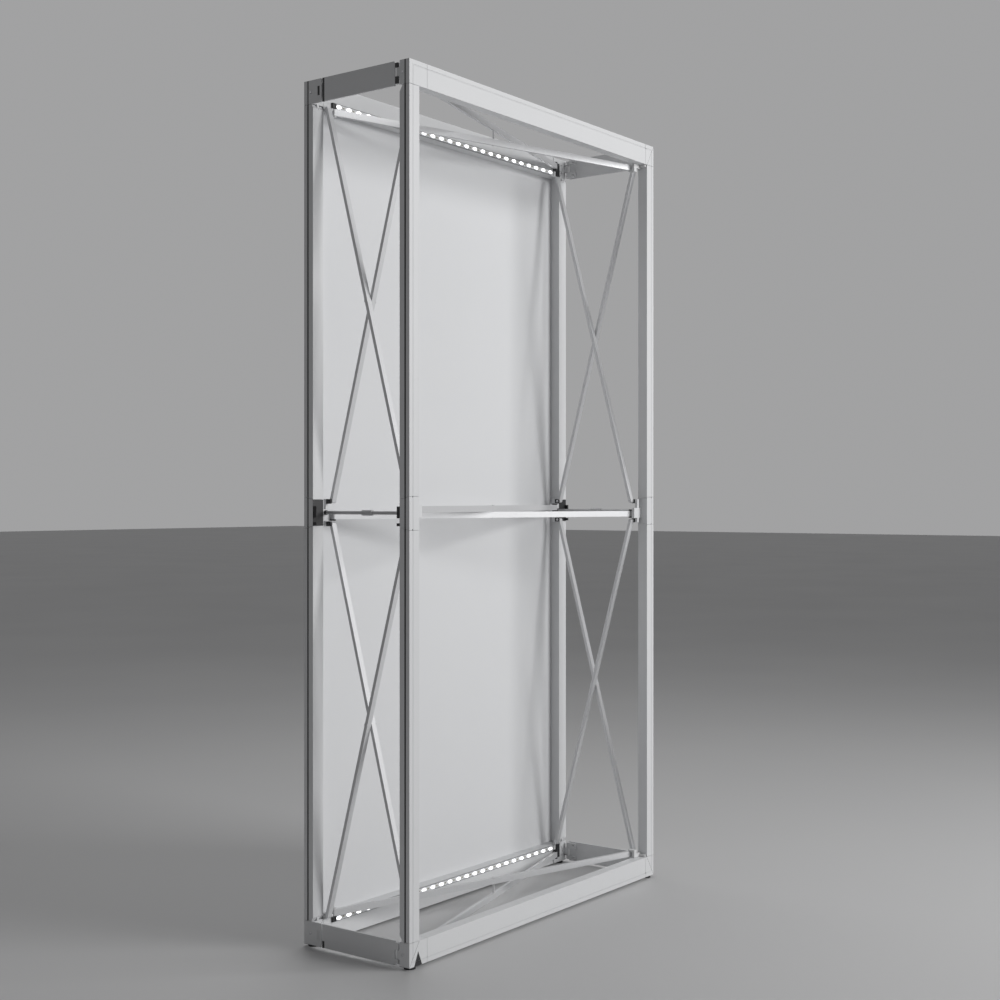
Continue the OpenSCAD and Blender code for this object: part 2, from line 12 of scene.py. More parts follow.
import bpy
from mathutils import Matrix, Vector

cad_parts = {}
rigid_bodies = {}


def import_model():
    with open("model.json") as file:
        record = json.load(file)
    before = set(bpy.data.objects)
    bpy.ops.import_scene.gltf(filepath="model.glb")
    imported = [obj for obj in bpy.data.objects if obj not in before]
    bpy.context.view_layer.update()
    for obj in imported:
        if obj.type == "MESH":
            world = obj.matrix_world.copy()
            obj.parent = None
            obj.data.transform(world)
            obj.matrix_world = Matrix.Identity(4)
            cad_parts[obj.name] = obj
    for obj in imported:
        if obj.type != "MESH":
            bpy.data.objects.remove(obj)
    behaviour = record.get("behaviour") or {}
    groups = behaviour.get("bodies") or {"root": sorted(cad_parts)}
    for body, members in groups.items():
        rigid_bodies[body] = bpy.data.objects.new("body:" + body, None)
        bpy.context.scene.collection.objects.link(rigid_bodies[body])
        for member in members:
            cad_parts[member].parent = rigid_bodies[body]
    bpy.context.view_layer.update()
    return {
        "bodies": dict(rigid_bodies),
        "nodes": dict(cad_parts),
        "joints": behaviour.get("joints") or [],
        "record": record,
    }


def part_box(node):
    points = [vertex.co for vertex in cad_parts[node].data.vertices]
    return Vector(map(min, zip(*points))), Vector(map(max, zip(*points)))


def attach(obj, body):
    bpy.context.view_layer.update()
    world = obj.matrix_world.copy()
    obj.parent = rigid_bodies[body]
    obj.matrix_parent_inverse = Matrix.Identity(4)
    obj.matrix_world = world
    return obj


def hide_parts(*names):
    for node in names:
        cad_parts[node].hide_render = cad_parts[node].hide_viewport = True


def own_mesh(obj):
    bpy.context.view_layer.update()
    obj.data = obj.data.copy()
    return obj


LOG = logging.getLogger("backwall")
MM = 0.001

Triple = tuple[float, float, float]
Colour = tuple[float, float, float, float]

# The frame's own sizes, in metres, as the solids have them: half the width and depth, the top,
# the underside of the rim above its feet, and the height of the middle blocks
HALF_W = 518 * MM
HALF_D = 159 * MM
TOP = 2000 * MM
FOOT = 6 * MM
MID_Z = 1003 * MM

# The profiles: width of an upright one, depth of the rim, height of a level one
POST_W = 34 * MM
RIM_D = 28 * MM
RAIL_H = 54 * MM

# The bars' pivots: in from the front or rear face, from the top or bottom, from the middle
PIVOT_IN = 36 * MM
PIVOT_V = 59 * MM
MID_PIVOT = 26 * MM

# The groove up the outer side of an upright profile: in from the face, half its width, its depth
SIDE_GROOVE_IN = 12.1 * MM
SIDE_GROOVE_HALF = 2.05 * MM
SIDE_GROOVE_D = 3.05 * MM

# The lamps: the pitch of a row, x of the first one without its sign, and a whole number of
# pitches that moves the count's origin off the frame
LAMP_PITCH = 34.8 * MM
LAMP_FIRST = LAMP_PITCH * 25 / 2
PITCHES_OFF = 40

# Where the rivets of outer and inner bars end, in from the outer side
OUTER_RIVET = 54.4 * MM
INNER_RIVET = 65 * MM


class Facing(Enum):
    """Which way the head of a fastener looks."""

    LEFT = (-1.0, 0.0, 0.0)
    RIGHT = (1.0, 0.0, 0.0)


class Signal:
    """One output of a shader node, with arithmetic that adds Math nodes."""

    def __init__(self, graph: "Graph", socket: Any) -> None:
        """Keeps the graph and the socket that carries the value."""
        self.graph = graph
        self.socket = socket

    def _math(self, operation: str, first: Any, second: Any = None) -> "Signal":
        """Adds a Math node and returns its result."""
        values = {0: first} if second is None else {0: first, 1: second}
        return self.graph.node("ShaderNodeMath", {"operation": operation}, values)

    def __add__(self, other: Any) -> "Signal":
        """Sum."""
        return self._math("ADD", self, other)

    __radd__ = __add__

    def __sub__(self, other: Any) -> "Signal":
        """Difference."""
        return self._math("SUBTRACT", self, other)

    def __rsub__(self, other: Any) -> "Signal":
        """Difference, with this value taken away."""
        return self._math("SUBTRACT", other, self)

    def __mul__(self, other: Any) -> "Signal":
        """Product."""
        return self._math("MULTIPLY", self, other)

    __rmul__ = __mul__

    def __truediv__(self, other: Any) -> "Signal":
        """Quotient."""
        return self._math("DIVIDE", self, other)

    def __abs__(self) -> "Signal":
        """Size without sign."""
        return self._math("ABSOLUTE", self)

    def below(self, limit: float) -> "Signal":
        """1 where the value is under limit, otherwise 0."""
        return self._math("LESS_THAN", self, limit)

    def above(self, limit: float) -> "Signal":
        """1 where the value is over limit, otherwise 0."""
        return self._math("GREATER_THAN", self, limit)

    def repeat(self, pitch: float) -> "Signal":
        """Distance to the nearest whole multiple of pitch."""
        return self._math("PINGPONG", self, pitch / 2)

    def root(self) -> "Signal":
        """Square root."""
        return self._math("SQRT", self)

    def clamp(self) -> "Signal":
        """The value held between 0 and 1."""
        return self.graph.node("ShaderNodeClamp", {}, {0: self})


class Graph:
    """The node tree of one material."""

    def __init__(self, name: str) -> None:
        """Starts an empty material of that name."""
        self.material = bpy.data.materials.new(name)
        self.material.use_nodes = True
        self.tree = self.material.node_tree
        self.tree.nodes.clear()

    def node(
        self, kind: str, settings: dict[str, Any], inputs: dict[Any, Any], out: Any = 0,
    ) -> Signal:
        """Adds a node.

        Args:
            kind: the node's type.
            settings: attributes that are set first.
            inputs: socket index or name to a number, colour, vector or Signal.
            out: index or name of the output to return.

        Returns:
            The chosen output.
        """
        made = self.tree.nodes.new(kind)
        for key, value in settings.items():
            setattr(made, key, value)
        for key, value in inputs.items():
            if isinstance(value, Signal):
                self.tree.links.new(value.socket, made.inputs[key])
            else:
                made.inputs[key].default_value = value
        return Signal(self, made.outputs[out])

    def place(self) -> tuple[Signal, Signal, Signal, Signal]:
        """Returns the object position as a vector and as x, y and z."""
        where = self.node("ShaderNodeTexCoord", {}, {}, "Object")
        split = self.tree.nodes.new("ShaderNodeSeparateXYZ")
        self.tree.links.new(where.socket, split.inputs[0])
        return where, *(Signal(self, split.outputs[i]) for i in range(3))

    def from_end(self, z: Signal) -> Signal:
        """Distance from the nearer of the rim's top and bottom edges."""
        return self.node("ShaderNodeMath", {"operation": "MINIMUM"}, {0: TOP - z, 1: z - FOOT})

    def from_side(self, x: Signal) -> Signal:
        """Distance from the nearer of the frame's outer sides."""
        return HALF_W - abs(x)

    def side_groove_shade(self, x: Signal, y: Signal) -> Signal:
        """Mask of the groove up the outer side of each upright profile, where its shade is painted."""
        run = abs(abs(y) - (HALF_D - SIDE_GROOVE_IN)).below(SIDE_GROOVE_HALF)
        return run * self.from_side(x).below(SIDE_GROOVE_D)

    def from_lamp(self, x: Signal, pitches: float = 0.0) -> Signal:
        """Distance along x from the nearest lens, or from the point that many pitches past it."""
        return (x + (LAMP_FIRST + LAMP_PITCH * (PITCHES_OFF + pitches))).repeat(LAMP_PITCH)

    def stretched(self, where: Signal, scale: Triple) -> Signal:
        """The position scaled along each axis."""
        return self.node("ShaderNodeMapping", {}, {"Vector": where, "Scale": scale})

    def noise(self, where: Signal, scale: float, detail: float = 2.0) -> Signal:
        """Smooth noise between 0 and 1."""
        return self.node("ShaderNodeTexNoise", {}, {"Vector": where, "Scale": scale, "Detail": detail})

    def mix(self, factor: Any, first: Any, second: Any) -> Signal:
        """Blends two colours; inputs 6 and 7 and output 2 are the node's colour sockets."""
        return self.node("ShaderNodeMix", {"data_type": "RGBA"}, {0: factor, 6: first, 7: second}, 2)

    def bump(self, height: Signal, strength: float, distance: float) -> Signal:
        """A normal from a height."""
        inputs = {"Height": height, "Strength": strength, "Distance": distance}
        return self.node("ShaderNodeBump", {}, inputs)

    def surface(self, inputs: dict[str, Any]) -> bpy.types.Material:
        """Ends the graph in a Principled shader and returns the material."""
        shader = self.node("ShaderNodeBsdfPrincipled", {}, inputs)
        end = self.tree.nodes.new("ShaderNodeOutputMaterial")
        self.tree.links.new(shader.socket, end.inputs["Surface"])
        return self.material


def rgb(red: float, green: float, blue: float) -> Colour:
    """An opaque colour."""
    return (red, green, blue, 1.0)


def tint(tone: float, green: float = 1.0, blue: float = 1.0) -> Colour:
    """A near grey of that tone, with its green and blue as shares of the tone."""
    return rgb(tone, tone * green, tone * blue)


# Shared paints: the two ends of the white coat's cloud, dark seams, and the painted shade inside
# grooves
COAT_LIGHT = rgb(0.72, 0.724, 0.731)
COAT_SHADE = rgb(0.67, 0.677, 0.69)
SEAM = rgb(0.06, 0.06, 0.065)
GROOVE_SHADE = rgb(0.05, 0.05, 0.053)
# The open notch's paint: its black plastic, with painted shade inside it
NOTCH_BLACK_AND_SHADE = rgb(0.016, 0.016, 0.018)
# The side plates' black fittings, with the painted shade of the slots at their ends
FITTING_BLACK_AND_SLOT_SHADE = rgb(0.02, 0.02, 0.022)

# A distance from the rim's edge that nothing on the frame reaches
ALL_BLACK = 3.0

# The cosine over which two directions count as the same
SAME_WAY = 0.9


@dataclass(frozen=True)
class PowderCoat:
    """White satin coat with fine peel; painted on the corners are the lines, the shade inside the
    grooves, and a wedge for the black plastic and shade of an open notch.
    """

    name: str = "powder_coat"
    tone: float = 0.72
    drawn_scale: float = 320.0
    peel_scale: float = 1400.0
    scuff_from: float = 0.66
    line: float = 0.35 * MM
    wedge_in: float = 30 * MM
    wedge_half: float = 13.5 * MM
    wedge_h: float = 32 * MM
    wedge_d: float = 0.5 * MM

    def notch_black_and_shade(self, x: Signal, y: Signal, z: Signal) -> Signal:
        """Mask of the wedge on the front face of the bottom left corner, painted dark for an open
        notch: its black plastic, and painted shade inside it.
        """
        lean = (z - FOOT) * (self.wedge_half / self.wedge_h)
        inside = (abs(x + (HALF_W - self.wedge_in)) + lean).below(self.wedge_half)
        return inside * y.below(self.wedge_d - HALF_D)

    def mitre(self, graph: Graph, x: Signal, z: Signal) -> Signal:
        """Mask of the mitre lines, which every corner has but the top left ones."""
        across = graph.from_side(x)
        high = graph.from_end(z)
        off = abs(across * RAIL_H - high * POST_W) / math.hypot(RAIL_H, POST_W)
        mitred = (x.above(0.0) + z.below(MID_Z)).clamp()
        return off.below(self.line) * across.below(POST_W) * high.below(RAIL_H) * mitred

    def groove(self, graph: Graph, x: Signal, y: Signal, z: Signal) -> Signal:
        """Mask of the painted shade in the side groove, which runs on over the top corners but not the
        bottom ones.
        """
        reached = (graph.from_end(z).above(RAIL_H) + z.above(MID_Z)).clamp()
        return graph.side_groove_shade(x, y) * reached

    def build(self, along: Triple = (1.0, 1.0, 0.04)) -> bpy.types.Material:
        """Makes the material.

        Args:
            along: scale of the drawing marks on each axis, small along the profile.

        Returns:
            The finished material.
        """
        graph = Graph(self.name)
        where, x, y, z = graph.place()
        drawn = graph.noise(graph.stretched(where, along), self.drawn_scale, 3.0)
        cloud = graph.noise(where, 3.5, 3.0)
        rub = graph.noise(where, 60.0, 5.0)
        scuff = ((rub - self.scuff_from).clamp() * 2.2).clamp()
        tone = self.tone
        base = graph.mix(cloud, tint(tone, 1.005, 1.015), tint(tone * 0.93, 1.011, 1.027))
        worn = graph.mix(scuff, base, tint(tone * 0.8))
        mitre = self.mitre(graph, x, z)
        # the side groove painted near black: painted shade of the groove
        groove_shaded = graph.mix(self.groove(graph, x, y, z), worn, GROOVE_SHADE)
        lined = graph.mix(mitre, groove_shaded, SEAM)
        # the wedge painted near black: black plastic and painted shade of an open notch
        colour = graph.mix(self.notch_black_and_shade(x, y, z), lined, NOTCH_BLACK_AND_SHADE)
        peel = graph.noise(where, self.peel_scale, 2.0)
        height = peel * 0.35 + drawn * 0.5 - mitre * 2.0
        return graph.surface({
            "Base Color": colour, "Roughness": drawn * 0.12 + cloud * 0.08 + 0.34, "Metallic": 0.0,
            "Coat Weight": 0.12, "Coat Roughness": 0.3,
            "Normal": graph.bump(height, 0.18, 0.4 * MM)})


@dataclass(frozen=True)
class Anodised:
    """Pale anodised tube, brushed along its length."""

    name: str = "anodised_bar"
    tone: float = 0.7
    brush_scale: float = 160.0

    def build(self) -> bpy.types.Material:
        """Makes the material."""
        graph = Graph(self.name)
        where, *_ = graph.place()
        brushed = graph.noise(graph.stretched(where, (6.0, 6.0, 1.0)), self.brush_scale, 4.0)
        cloud = graph.noise(where, 9.0, 2.0)
        colour = graph.mix(brushed, tint(self.tone, 1.0, 1.01), tint(self.tone * 0.86, 1.012, 1.035))
        return graph.surface({
            "Base Color": colour, "Metallic": 0.25, "Roughness": brushed * 0.16 + cloud * 0.1 + 0.26,
            "Normal": graph.bump(brushed, 0.12, 0.3 * MM)})


@dataclass(frozen=True)
class Moulded:
    """Moulded nylon with a fine spark-eroded grain: black, and white past white_from.

    white_from is a distance from the rim's top or bottom edge; ALL_BLACK is past any of them.
    """

    name: str = "black_nylon"
    white_from: float = ALL_BLACK
    dark: float = 0.012
    light: float = 0.024
    white: float = 0.7
    grain_scale: float = 2400.0

    def build(self) -> bpy.types.Material:
        """Makes the material."""
        graph = Graph(self.name)
        where, _, _, z = graph.place()
        grain = graph.noise(where, self.grain_scale, 3.0)
        cloud = graph.noise(where, 30.0, 3.0)
        black = graph.mix(cloud, tint(self.dark, 1.0, 1.1), tint(self.light, 1.0, 1.08))
        pale = graph.mix(cloud, tint(self.white), tint(self.white * 0.93, 1.011, 1.022))
        colour = graph.mix(graph.from_end(z).above(self.white_from), black, pale)
        return graph.surface({
            "Base Color": colour, "Roughness": grain * 0.2 + cloud * 0.12 + 0.3,
            "Normal": graph.bump(grain, 0.35, 0.3 * MM)})


@dataclass(frozen=True)
class MiddleCoat:
    """White block on the rim with black nylon ears behind it, and the side groove's shade painted black
    across it.
    """

    name: str = "middle_block"
    behind: float = 0.5 * MM

    def build(self) -> bpy.types.Material:
        """Makes the material."""
        graph = Graph(self.name)
        where, x, y, _ = graph.place()
        ears = abs(y).below(HALF_D - RIM_D + self.behind)
        grain = graph.noise(where, 1800.0, 3.0)
        cloud = graph.noise(where, 4.0, 3.0)
        white = graph.mix(cloud, COAT_LIGHT, COAT_SHADE)
        black = graph.mix(cloud, tint(0.012, 1.0, 1.08), tint(0.026, 1.0, 1.08))
        # black on the nylon ears, and painted shade along the side groove
        colour = graph.mix((ears + graph.side_groove_shade(x, y)).clamp(), white, black)
        return graph.surface({
            "Base Color": colour, "Roughness": grain * 0.14 + 0.34,
            "Normal": graph.bump(grain, 0.2, 0.3 * MM)})


@dataclass(frozen=True)
class PlateCoat:
    """White side plate; the upper one has a black hinge leaf and catch, painted together with the shade
    of the slots at its ends; the lower one a notch painted black as the shade seen through its latch
    window.
    """

    name: str = "side_plate_coat"
    plate_t: float = 4.05 * MM
    leaf_l: float = 13.5 * MM
    catch_from: float = 95 * MM
    window_shade_to: float = 22 * MM

    def build(self) -> bpy.types.Material:
        """Makes the material."""
        graph = Graph(self.name)
        where, x, y, z = graph.place()
        upper = z.above(MID_Z)
        # upper plates: black hinge leaf, with painted shade of the slot at each end
        leaf = abs(y).above(HALF_D - RIM_D - self.leaf_l) * upper
        reached = (upper + z.below(self.window_shade_to)).clamp()
        # the black catch on upper plates; on lower ones, painted shade seen through the latch window
        catch = abs(y).above(self.catch_from) * (x * y).below(0.0) * reached
        # black fittings and painted shade, on the plate's outer face only
        fitting_and_slot_shade = (leaf + catch).clamp() * graph.from_side(x).below(self.plate_t)
        drawn = graph.noise(graph.stretched(where, (1.0, 0.05, 1.0)), 300.0, 3.0)
        white = graph.mix(graph.noise(where, 5.0, 3.0), COAT_LIGHT, COAT_SHADE)
        return graph.surface({
            "Base Color": graph.mix(fitting_and_slot_shade, white, FITTING_BLACK_AND_SLOT_SHADE), "Roughness": drawn * 0.16 + 0.32,
            "Normal": graph.bump(drawn, 0.15, 0.3 * MM)})


@dataclass(frozen=True)
class Glow:
    """Lit lens: bright at its middle and softer at its rim."""

    name: str = "lit_lens"
    half_l: float = 8.0 * MM
    half_h: float = 3.6 * MM
    strength: float = 2.6

    def build(self, height: float) -> bpy.types.Material:
        """Makes the material.

        Args:
            height: z of the row's centre line.

        Returns:
            The finished material.
        """
        graph = Graph(self.name)
        _, x, _, z = graph.place()
        along = graph.from_lamp(x) / self.half_l
        up = (z - height) / self.half_h
        reach = (along * along + up * up).root()
        core = ((1.1 - reach) * 4.0).clamp()
        light = graph.mix(core, rgb(0.16, 0.165, 0.175), rgb(1.0, 0.99, 0.97))
        return graph.surface({
            "Base Color": rgb(0.85, 0.87, 0.9), "Roughness": reach * 0.1 + 0.12,
            "Emission Color": light, "Emission Strength": self.strength})


@dataclass(frozen=True)
class Board:
    """White lamp board with grey edges, a dark part and bright pads between the lenses."""

    name: str = "lamp_board"
    part_half: tuple[float, float] = (1.6 * MM, 1.0 * MM)
    pads_half: tuple[float, float] = (4.0 * MM, 1.8 * MM)
    edge_from: float = 5.4 * MM

    def build(self, height: float) -> bpy.types.Material:
        """Makes the material for the board whose centre line is at that height."""
        graph = Graph(self.name)
        where, x, _, z = graph.place()
        along = graph.from_lamp(x, 0.5)
        up = abs(z - height)
        part = along.below(self.part_half[0]) * up.below(self.part_half[1])
        pads = along.below(self.pads_half[0]) * up.below(self.pads_half[1]) - part
        edge = up.above(self.edge_from)
        cloud = graph.noise(where, 40.0, 3.0)
        white = graph.mix(cloud, rgb(0.72, 0.73, 0.74), rgb(0.64, 0.65, 0.66))
        traced = graph.mix(edge, white, rgb(0.3, 0.305, 0.31))
        padded = graph.mix(pads, traced, rgb(0.62, 0.6, 0.52))
        return graph.surface({
            "Base Color": graph.mix(part, padded, tint(0.03)), "Roughness": cloud * 0.15 + 0.35})


@dataclass(frozen=True)
class Weave:
    """White stretched polyester with a fine plain weave and a soft sheen.

    away moves the weave's origin off the frame, so that every thread is counted one way.
    """

    name: str = "stretch_weave"
    thread: float = 0.9 * MM
    away: float = 2.0

    def build(self) -> bpy.types.Material:
        """Makes the material."""
        graph = Graph(self.name)
        where, x, _, z = graph.place()
        warp = (x + self.away).repeat(self.thread) / self.thread * 2.0
        weft = (z + self.away).repeat(self.thread) / self.thread * 2.0
        slub = graph.noise(graph.stretched(where, (1.0, 1.0, 0.05)), 700.0, 3.0)
        cloud = graph.noise(where, 2.2, 3.0)
        cloth = warp * weft * 0.8 + slub * 0.35
        base = graph.mix(cloud, rgb(0.78, 0.785, 0.795), rgb(0.73, 0.737, 0.75))
        thready = graph.mix(cloth * 0.22, rgb(0.66, 0.667, 0.68), base)
        colour = graph.mix(0.75, thready, base)
        return graph.surface({
            "Base Color": colour, "Roughness": slub * 0.12 + 0.78, "Sheen Weight": 0.25,
            "Sheen Roughness": 0.5, "Normal": graph.bump(cloth, 0.25, 0.3 * MM)})


@dataclass(frozen=True)
class Zinc:
    """Bright plated steel of the rivets and screws."""

    name: str = "plated_steel"

    def build(self) -> bpy.types.Material:
        """Makes the material."""
        graph = Graph(self.name)
        where, *_ = graph.place()
        grain = graph.noise(where, 1500.0, 3.0)
        colour = graph.mix(grain, rgb(0.62, 0.62, 0.63), rgb(0.48, 0.48, 0.5))
        return graph.surface({
            "Base Color": colour, "Metallic": 1.0, "Roughness": grain * 0.2 + 0.2})


def deselect() -> None:
    """Leaves edit mode and selects nothing."""
    if bpy.context.mode != "OBJECT":
        bpy.ops.object.mode_set(mode="OBJECT")
    bpy.ops.object.select_all(action="DESELECT")


def settle(piece: bpy.types.Object) -> None:
    """Moves a finished piece's place into its mesh."""
    deselect()
    piece.select_set(True)
    bpy.context.view_layer.objects.active = piece
    bpy.ops.object.transform_apply(location=True, rotation=True, scale=True)


def apply_all(piece: bpy.types.Object) -> None:
    """Applies every modifier of a piece."""
    bpy.context.view_layer.objects.active = piece
    for modifier in list(piece.modifiers):
        bpy.ops.object.modifier_apply(modifier=modifier.name)


def dress(piece: bpy.types.Object, material: bpy.types.Material) -> None:
    """Gives a piece one material."""
    piece.data.materials.clear()
    piece.data.materials.append(material)


def round_edges(piece: bpy.types.Object, width: float) -> None:
    """Bevels every edge of a piece."""
    bevel = piece.modifiers.new("edges", "BEVEL")
    bevel.width = width
    bevel.segments = 2
    apply_all(piece)


def add_box(name: str, centre: Triple, size: Triple) -> bpy.types.Object:
    """Adds a box, with its place and size in its mesh."""
    deselect()
    bpy.ops.mesh.primitive_cube_add(size=1.0, location=centre)
    piece = bpy.context.object
    piece.name = name
    piece.scale = size
    settle(piece)
    return piece


def pick_faces(
    piece: bpy.types.Object, way: Triple, heights: tuple[float, float] = (-math.inf, math.inf),
) -> None:
    """Enters edit mode with some faces of the active piece selected, and nothing else.

    Args:
        piece: the active object.
        way: unit vector that the faces look along.
        heights: the range of z that their centres lie in.
    """
    low, high = heights
    bpy.ops.object.mode_set(mode="EDIT")
    bpy.ops.mesh.select_all(action="DESELECT")
    bpy.ops.object.mode_set(mode="OBJECT")
    for face in piece.data.polygons:
        face.select = face.normal.dot(Vector(way)) > SAME_WAY and low < face.center.z < high
    bpy.ops.object.mode_set(mode="EDIT")
    bpy.ops.mesh.select_mode(type="FACE")


@dataclass
class RimAndBars:
    """The carried-over solids and their finishes."""

    frame: dict[str, Any]
    bracket_white_from: float = RAIL_H + 0.1 * MM

    def dress_all(self) -> None:
        """Gives every node that stays its finish."""
        upright = PowderCoat().build()
        level = PowderCoat(name="powder_coat_level").build((0.04, 1.0, 1.0))
        rules: list[tuple[str, bpy.types.Material]] = [
            ("hub_", upright), ("post_", upright), ("rail_", level), ("plate_", PlateCoat().build()),
            ("bracket_", Moulded(white_from=self.bracket_white_from).build()),
            ("bar_", Anodised().build()), ("lock_", Anodised(name="lock_tube", tone=0.5).build())]
        for name, node in self.frame["nodes"].items():
            for start, material in rules:
                if name.startswith(start):
                    dress(node, material)
        middle = MiddleCoat().build()
        for corner in ("fl", "fr", "rl", "rr"):
            dress(self.frame["nodes"][f"hub_{corner}_mid"], middle)
        LOG.info("dressed %d nodes", len(self.frame["nodes"]))


@dataclass
class LampRows:
    """Two rows of lit lenses on their boards, with the feed at the left end."""

    frame: dict[str, Any]
    feed_l: float = 13 * MM
    feed_t: float = 4.5 * MM
    feed_share: float = 0.9
    recess_in: float = 1.6 * MM
    recess_d: float = 0.8 * MM
    edge: float = 0.5 * MM

    def centre(self, level: str) -> float:
        """Height of a row's centre line."""
        low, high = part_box(f"strip_{level}")
        return (low[2] + high[2]) / 2

    def feed(self, level: str, material: bpy.types.Material) -> None:
        """Adds the small black feed at the left end of a board."""
        low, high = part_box(f"strip_{level}")
        piece = add_box(
            f"lamp_feed_{level}",
            (low[0] - self.feed_l / 2, HALF_D - RIM_D - self.feed_t / 2, self.centre(level)),
            (self.feed_l, self.feed_t, (high[2] - low[2]) * self.feed_share))
        pick_faces(piece, (0.0, -1.0, 0.0))
        bpy.ops.mesh.inset(thickness=self.recess_in)
        bpy.ops.mesh.extrude_region_move(TRANSFORM_OT_translate={"value": (0, self.recess_d, 0)})
        bpy.ops.object.mode_set(mode="OBJECT")
        round_edges(piece, self.edge)
        dress(piece, material)
        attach(piece, f"rail_rear_{level}")

    def build(self) -> None:
        """Dresses both rows and adds their feeds."""
        black = Moulded(name="feed_plastic").build()
        nodes = self.frame["nodes"]
        for level in ("top", "bottom"):
            height = self.centre(level)
            dress(nodes[f"lamps_{level}"], Glow(name=f"lit_lens_{level}").build(height))
            dress(nodes[f"strip_{level}"], Board(name=f"lamp_board_{level}").build(height))
            self.feed(level, black)
        LOG.info("lamp rows ready")


@dataclass
class RearFabric:
    """The fabric stretched over the rear face."""

    inset: float = 3 * MM
    place: float = HALF_D + 0.55 * MM
    wall_t: float = 0.35 * MM
    slack: float = 0.25 * MM
    waves_x: float = 9.0
    waves_z: float = 5.0
    cells_x: int = 60
    cells_z: int = 110

    def sway(self, x: float, z: float, width: float, height: float) -> float:
        """How far the slack moves the sheet to the rear; it is nothing at the edges."""
        across = x / (width / 2)
        high = (z - MID_Z) / (height / 2)
        free = (1 - across ** 4) * (1 - high ** 4)
        wave = math.sin(x * self.waves_x) * math.cos(z * self.waves_z)
        return self.slack * free * (0.6 + 0.4 * wave)

    def build(self) -> None:
        """Makes the sheet, which rides with the rear left bottom corner."""
        width = HALF_W * 2 - self.inset * 2
        height = TOP - FOOT - self.inset * 2
        deselect()
        bpy.ops.mesh.primitive_grid_add(
            x_subdivisions=self.cells_x, y_subdivisions=self.cells_z, size=1.0,
            location=(0, self.place, MID_Z), rotation=(math.pi / 2, 0, 0))
        cloth = bpy.context.object
        cloth.name = "stretched_fabric"
        cloth.scale = (width, height, 1.0)
        settle(cloth)
        for corner in cloth.data.vertices:
            corner.co.y += self.sway(corner.co.x, corner.co.z, width, height)
        wall = cloth.modifiers.new("wall", "SOLIDIFY")
        wall.thickness = self.wall_t
        wall.offset = 0.0
        apply_all(cloth)
        bpy.ops.object.shade_smooth_by_angle(angle=math.radians(40))
        dress(cloth, Weave().build())
        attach(cloth, "corner_rl_bottom")
        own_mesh(cloth)
        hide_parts("rear_fabric")
        LOG.info("fabric ready")


@dataclass
class GrooveInfill:
    """White strips that close the grooves of the open front, one for each piece of the rim."""

    centre_in: float = 11.5 * MM
    width: float = 2.7 * MM
    sunk: float = 0.3 * MM
    depth: float = 7.0 * MM
    edge: float = 0.25 * MM
    post_ends: tuple[float, float] = (1041 * MM, 1945 * MM)
    hub_end: float = 1946.2 * MM
    middle_half: float = 34.6 * MM
    hinge_seam: float = 457 * MM
    free_seam: float = 479.8 * MM
    rail_ends: tuple[float, float] = (-456 * MM, 476 * MM)

    def at_level(self, level: str, z: float) -> float:
        """A height in the top half, or its mirror image for the bottom half."""
        return z if level == "top" else 2 * MID_Z - z

    def strip(self, name: str, body: str, start: Triple, end: Triple) -> bpy.types.Object:
        """Adds a straight strip between two points of the face and lets it ride."""
        size = [max(abs(b - a), self.width) for a, b in zip(start, end)]
        size[1] = self.depth
        piece = add_box(name, tuple((a + b) / 2 for a, b in zip(start, end)), tuple(size))
        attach(piece, body)
        return piece

    def turn_corner(self, piece: bpy.types.Object, height: float, side: int, reach: float) -> None:
        """Extrudes a leg from the end of an upright strip along the rail's groove.

        Args:
            piece: the upright strip, which ends at the outer edge of the level groove.
            height: z of the level groove's centre line.
            side: -1 on the left and 1 on the right.
            reach: x, without sign, where the leg ends.
        """
        bpy.context.view_layer.objects.active = piece
        half = self.width / 2
        bpy.ops.object.mode_set(mode="EDIT")
        bpy.ops.mesh.select_all(action="SELECT")
        bpy.ops.mesh.bisect(
            plane_co=(0, 0, height - math.copysign(half, height - MID_Z)), plane_no=(0, 0, 1))
        bpy.ops.object.mode_set(mode="OBJECT")
        pick_faces(piece, (-side, 0.0, 0.0), (height - half, height + half))
        leg = HALF_W - self.centre_in - half - reach
        bpy.ops.mesh.extrude_region_move(TRANSFORM_OT_translate={"value": (-side * leg, 0, 0)})
        bpy.ops.object.mode_set(mode="OBJECT")

    def upright(self, side: str, turn: int, seam: float, y: float) -> Iterable[bpy.types.Object]:
        """Yields the strips of one side: the middle block, then each profile and its corner.

        Args:
            side: l or r.
            turn: -1 on the left and 1 on the right.
            seam: x, without sign, where the corners end.
            y: the strips' middle.
        """
        x = turn * (HALF_W - self.centre_in)
        low, high = self.post_ends
        outer = TOP - self.centre_in + self.width / 2
        yield self.strip(
            f"infill_f{side}_mid", f"middle_f{side}",
            (x, y, MID_Z - self.middle_half), (x, y, MID_Z + self.middle_half))
        for level, name in (("top", "upper"), ("bottom", "lower")):
            yield self.strip(
                f"infill_f{side}_{name}", f"post_f{side}_{name}",
                (x, y, self.at_level(level, low)), (x, y, self.at_level(level, high)))
            corner = self.strip(
                f"infill_f{side}_{level}", f"corner_f{side}_{level}",
                (x, y, self.at_level(level, self.hub_end)), (x, y, self.at_level(level, outer)))
            self.turn_corner(corner, self.at_level(level, TOP - self.centre_in), turn, seam)
            yield corner

    def build(self) -> None:
        """Fills the grooves of posts, middle blocks, corners and rails."""
        y = -HALF_D + self.sunk + self.depth / 2
        made = [*self.upright("l", -1, self.hinge_seam, y), *self.upright("r", 1, self.free_seam, y)]
        left, right = self.rail_ends
        for level in ("top", "bottom"):
            z = self.at_level(level, TOP - self.centre_in)
            made.append(self.strip(
                f"infill_front_{level}", f"rail_front_{level}", (left, y, z), (right, y, z)))
        material = PowderCoat(name="infill_coat", tone=0.68).build()
        for piece in made:
            deselect()
            round_edges(piece, self.edge)
            dress(piece, material)
        LOG.info("%d infill strips placed", len(made))


